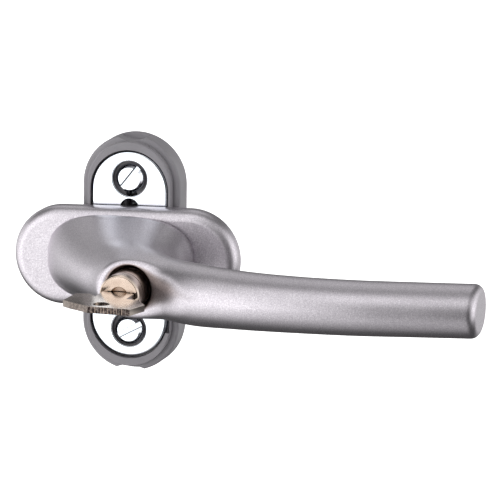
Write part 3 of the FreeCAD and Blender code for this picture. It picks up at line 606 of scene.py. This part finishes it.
def key_outline():
    """Corners of the key seen from above, with a reeded front edge and side bites."""
    outline = [(-KEY_STEM, KEY_FACE), (-KEY_STEM, KEY_BACK), (-KEY_STEM - 2.0, KEY_BACK - 2.6),
               (-KEY_BOW + 0.5, KEY_BACK - 1.8), (-KEY_BOW, KEY_BACK + 7.0),
               (-KEY_BOW + 2.4, KEY_BACK + 8.8), (-2.5, KEY_FRONT)]
    reeds = np.random.default_rng(4)
    x = REED_START
    while x < REED_END:
        width = reeds.uniform(*REED_WIDTHS)
        depth = reeds.uniform(*REED_DEPTHS)
        outline += [(x, KEY_FRONT), (x + REED_LIP, KEY_FRONT - depth),
                    (x + width - REED_LIP, KEY_FRONT - depth), (x + width, KEY_FRONT)]
        x += width + reeds.uniform(*REED_GAPS)
    outline += [(KEY_BOW - 2.0, KEY_FRONT), (KEY_BOW, KEY_FRONT - 6.5),
                (KEY_BOW - 3.4, KEY_BACK + 0.6), (KEY_STEM, KEY_BACK + 0.6), (KEY_STEM, KEY_FACE),
                (KEY_BLADE, KEY_FACE)]
    for index, bite in reversed(list(enumerate(KEY_BITES))):
        depth = KEY_TIP + FIRST_BITE + index * BITE_PITCH
        outline += [(KEY_BLADE, depth + BITE_HALF), (KEY_BLADE - bite, depth + BITE_FLAT),
                    (KEY_BLADE - bite, depth - BITE_FLAT), (KEY_BLADE, depth - BITE_HALF)]
    outline += [(KEY_BLADE, KEY_TIP + BLADE_POINT), (KEY_BLADE - BLADE_POINT, KEY_TIP),
                (-KEY_BLADE + BLADE_POINT, KEY_TIP), (-KEY_BLADE, KEY_TIP + BLADE_POINT),
                (-KEY_BLADE, KEY_FACE)]
    return outline


def cut_plate(name, loops, thick, edge):
    """A flat plate with holes from closed loops in (x, depth), its edges softened."""
    curve = bpy.data.curves.new(name, "CURVE")
    curve.dimensions = "2D"
    curve.fill_mode = "BOTH"
    curve.extrude = (thick / 2 - edge) * MM
    curve.bevel_depth = edge * MM
    curve.bevel_resolution = 1
    curve.offset = -edge * MM
    for loop in loops:
        spline = curve.splines.new("POLY")
        spline.points.add(len(loop) - 1)
        for point, (x, depth) in zip(spline.points, loop):
            point.co = (x * MM, -depth * MM, 0, 1)
        spline.use_cyclic_u = True
    pattern = bpy.data.objects.new(name + "_pattern", curve)
    bpy.context.scene.collection.objects.link(pattern)
    bpy.context.view_layer.update()
    mesh = bpy.data.meshes.new_from_object(
        pattern.evaluated_get(bpy.context.evaluated_depsgraph_get()))
    bpy.data.objects.remove(pattern)
    bpy.data.curves.remove(curve)
    shell = bmesh.new()
    shell.from_mesh(mesh)
    bmesh.ops.remove_doubles(shell, verts=shell.verts, dist=MERGE_GAP * MM)
    bmesh.ops.recalc_face_normals(shell, faces=shell.faces)
    shell.to_mesh(mesh)
    shell.free()
    mesh.shade_flat()
    piece = bpy.data.objects.new(name, mesh)
    bpy.context.scene.collection.objects.link(piece)
    return piece


def build_key():
    """The key: its outline and its ring hole cut from one plate."""
    turns = [math.tau * step / RING_STEPS for step in range(RING_STEPS)]
    ring = [(LOCK_X + KEY_HOLE_RADIUS * math.cos(turn),
             KEY_HOLE_DEPTH + KEY_HOLE_RADIUS * math.sin(turn)) for turn in turns]
    outline = [(LOCK_X + x, depth) for x, depth in key_outline()]
    return cut_plate("key_cut", [outline, ring], KEY_THICK, KEY_EDGE)


def soften(node, width):
    """Rounds the sharp edges of a CAD node a little."""
    bevel = frame["nodes"][node].modifiers.new("edge_round", "BEVEL")
    bevel.width = width * MM
    bevel.segments = EDGE_SEGMENTS
    bevel.limit_method = "ANGLE"
    bevel.angle_limit = math.radians(EDGE_ANGLE)


install(build_lever(), "lever", "silver_paint", "lever_handle")
install(build_key(), "key", "key_nickel", "key")
for node_name, edge_width in EDGE_WIDTHS.items():
    soften(node_name, edge_width)


# ------------------------------------------------------------------ stage
FLOOR_HALF, FLOOR_LEVEL = 4.0, -0.14


def make_floor():
    """Plain white floor, well below the handle, that neither lights nor mirrors in it."""
    mesh = bpy.data.meshes.new("floor")
    half, level = FLOOR_HALF, FLOOR_LEVEL
    mesh.from_pydata([(-half, -half, level), (half, -half, level), (half, half, level),
                      (-half, half, level)], [], [(0, 1, 2, 3)])
    floor = bpy.data.objects.new("floor", mesh)
    bpy.context.scene.collection.objects.link(floor)
    material, tree, shader = new_material("floor_white", roughness=0.9)
    cloud = noise(tree, coordinates(tree), 3.0)
    color = ramp(tree, cloud, [(0.3, (0.93, 0.93, 0.93, 1)), (0.7, (0.95, 0.95, 0.95, 1))])
    tree.links.new(color, shader.inputs["Base Color"])
    shader.inputs["Emission Color"].default_value = WHITE
    shader.inputs["Emission Strength"].default_value = 1.0
    mesh.materials.append(material)
    floor.visible_glossy = False
    floor.visible_diffuse = False


# Studio light by direction: azimuth from the front towards +X, elevation, the half angle at
# which it has faded out, all in degrees, and how much light it adds in its middle.
LOBES = [(-33, 5, 38, 1.85),      # main softbox, front left
         (-27, 50, 34, 1.1),      # the same from higher up
         (-20, -28, 34, 0.7),     # bounce from below it
         (0, -60, 40, 0.45),      # bounce from the table
         (-80, -3, 36, 1.25),     # left side
         (-62, -32, 34, 1.0),     # bounce on the left
         (15, 45, 34, 0.45),      # overhead front
         (85, 0, 32, 1.3),        # right side
         (118, 10, 36, 1.2),      # behind on the right
         (158, -8, 34, 0.65),     # behind, under the lever's end
         (78, 35, 32, 0.8),       # right, high
         (-122, 5, 36, 0.75),     # behind on the left
         (-160, 53, 36, 0.7),     # behind, high
         (10, 72, 32, 0.3)]       # overhead
AMBIENT = 0.08


def toward(azimuth, elevation):
    """Unit vector to a direction given in degrees."""
    a, e = math.radians(azimuth), math.radians(elevation)
    return math.sin(a) * math.cos(e), -math.cos(a) * math.cos(e), math.sin(e)


def light_lobe(tree, direction, lobe):
    """Soft-edged round patch of light in the studio sky."""
    azimuth, elevation, outer, strength = lobe
    dot = tree.nodes.new("ShaderNodeVectorMath")
    dot.operation = "DOT_PRODUCT"
    dot.inputs[1].default_value = toward(azimuth, elevation)
    tree.links.new(direction, dot.inputs[0])
    patch = tree.nodes.new("ShaderNodeMapRange")
    patch.interpolation_type = "SMOOTHSTEP"
    patch.inputs["From Min"].default_value = math.cos(math.radians(outer))
    patch.inputs["From Max"].default_value = 1.0
    patch.inputs["To Max"].default_value = strength
    tree.links.new(dot.outputs["Value"], patch.inputs["Value"])
    return patch.outputs["Result"]


def make_world():
    """Plain white to the camera; for lighting, a dim surround with soft bright patches."""
    world = bpy.data.worlds.new("studio")
    bpy.context.scene.world = world
    world.use_nodes = True
    tree = world.node_tree
    direction = tree.nodes.new("ShaderNodeTexCoord").outputs["Generated"]
    total = AMBIENT
    for lobe in LOBES:
        total = math_node(tree, "ADD", light_lobe(tree, direction, lobe), total)
    seen = tree.nodes.new("ShaderNodeLightPath").outputs["Is Camera Ray"]
    mixed = tree.nodes.new("ShaderNodeMix")
    mixed.inputs["B"].default_value = 1.0
    tree.links.new(seen, mixed.inputs["Factor"])
    tree.links.new(total, mixed.inputs["A"])
    tree.nodes["Background"].inputs["Color"].default_value = WHITE
    tree.links.new(mixed.outputs["Result"], tree.nodes["Background"].inputs["Strength"])


CAMERA_PLACE = (0.28758, -0.90478, 0.19916)
CAMERA_AZIMUTH, CAMERA_ELEVATION, CAMERA_ROLL = 15.74, 11.87, 0.78
LENS, SENSOR, SHIFT_X, SHIFT_Y, CLIP_END = 249.36, 36.0, 0.0004, 0.003, 20.0


def make_camera():
    """Long lens, a little from the right and above, with a slight roll."""
    data = bpy.data.cameras.new("camera")
    data.sensor_width = SENSOR
    data.lens = LENS
    data.clip_end = CLIP_END
    data.shift_x = SHIFT_X
    data.shift_y = SHIFT_Y
    camera = bpy.data.objects.new("camera", data)
    bpy.context.scene.collection.objects.link(camera)
    azimuth, roll = math.radians(CAMERA_AZIMUTH), math.radians(CAMERA_ROLL)
    back = Vector(toward(CAMERA_AZIMUTH, CAMERA_ELEVATION))
    right = Vector((math.cos(azimuth), math.sin(azimuth), 0))
    up = back.cross(right)
    right, up = (right * math.cos(roll) + up * math.sin(roll),
                 up * math.cos(roll) - right * math.sin(roll))
    rotation = Matrix((right, up, back)).transposed()
    camera.matrix_world = Matrix.Translation(CAMERA_PLACE) @ rotation.to_4x4()
    bpy.context.scene.camera = camera


make_floor()
make_world()
make_camera()
bpy.context.scene.view_settings.view_transform = "Standard"
